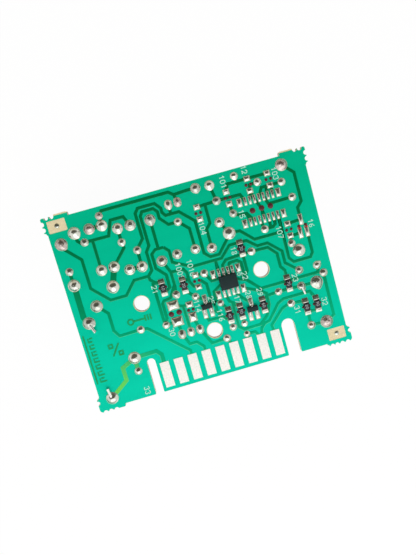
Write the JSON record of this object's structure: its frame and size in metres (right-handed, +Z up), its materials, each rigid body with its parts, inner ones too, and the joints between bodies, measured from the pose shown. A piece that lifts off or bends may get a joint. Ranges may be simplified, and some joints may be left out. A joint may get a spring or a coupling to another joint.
{
  "type": "dryer control board",
  "caption": "Single-sided printed control board with an edge connector, glued chip parts on its soldered face and leaded parts hanging below.",
  "frame": {"origin": "under the middle of the board's outline, on the surface that its tallest components rest on", "axes": "+X along the board's long edge, +Y across it away from the edge contacts, +Z up, out of the soldered copper face"},
  "size_m": [0.0728, 0.0552, 0.0158],
  "materials": {
    "laminate": "matte paper and resin laminate",
    "green_resist": "glossy green lacquer",
    "resist_over_copper": "glossy green lacquer over copper",
    "tinned_contact": "levelled tin, slightly uneven",
    "solder": "bright solder",
    "red_adhesive": "cured dark red epoxy",
    "chip_body": "glossy black glaze",
    "plated_cap": "matt tin plating",
    "moulded_epoxy": "matt black moulding",
    "tinned_wire": "tinned wire",
    "cement_coat": "matt grey-green cement",
    "diode_epoxy": "matt black moulding",
    "aluminium_can": "drawn aluminium",
    "vinyl_sleeve": "glossy dark blue vinyl",
    "rubber_bung": "matt black rubber",
    "dipped_coat": "dipped phenolic coat",
    "resistor_lacquer": "beige lacquer"
  },
  "bodies": {
    "root": {"amplifier_body": "moulded_epoxy", "amplifier_leads": "tinned_wire", "bias_resistor": "resistor_lacquer", "bridge_diode_1": "diode_epoxy", "bridge_diode_2": "diode_epoxy", "bridge_diode_3": "diode_epoxy", "bridge_diode_4": "diode_epoxy", "chip_glue": "red_adhesive", "chip_resistor_1": "chip_body", "chip_resistor_2": "chip_body", "chip_resistor_3": "chip_body", "chip_resistor_4": "chip_body", "chip_resistor_5": "chip_body", "chip_resistor_6": "chip_body", "chip_resistor_7": "chip_body", "chip_resistor_8": "chip_body", "chip_resistor_9": "chip_body", "chip_terminations": "plated_cap", "circuit_board": "laminate", "copper_tracks": "resist_over_copper", "diode_leads": "tinned_wire", "disc_capacitor": "dipped_coat", "disc_capacitor_leads": "tinned_wire", "dropper_leads": "tinned_wire", "dropper_resistor_1": "cement_coat", "dropper_resistor_2": "cement_coat", "dropper_resistor_3": "cement_coat", "edge_contacts": "tinned_contact", "fiducial_pads": "solder", "glue_dots": "red_adhesive", "input_resistor": "resistor_lacquer", "lead_solder_joints": "solder", "load_resistor": "resistor_lacquer", "main_capacitor_bung": "rubber_bung", "main_capacitor_can": "aluminium_can", "main_capacitor_leads": "tinned_wire", "main_capacitor_sleeve": "vinyl_sleeve", "output_transistor": "moulded_epoxy", "output_transistor_leads": "tinned_wire", "resistor_leads": "tinned_wire", "sense_resistor": "resistor_lacquer", "series_resistor": "resistor_lacquer", "small_capacitor_bung": "rubber_bung", "small_capacitor_can": "aluminium_can", "small_capacitor_leads": "tinned_wire", "small_capacitor_sleeve": "vinyl_sleeve", "solder_lands": "solder", "solder_resist": "green_resist", "surface_solder_fillets": "solder", "test_point_solder": "solder", "transistor_1_body": "moulded_epoxy", "transistor_1_leads": "tinned_wire", "transistor_2_body": "moulded_epoxy", "transistor_2_leads": "tinned_wire", "zener_diode": "diode_epoxy"}
  },
  "joints": []
}
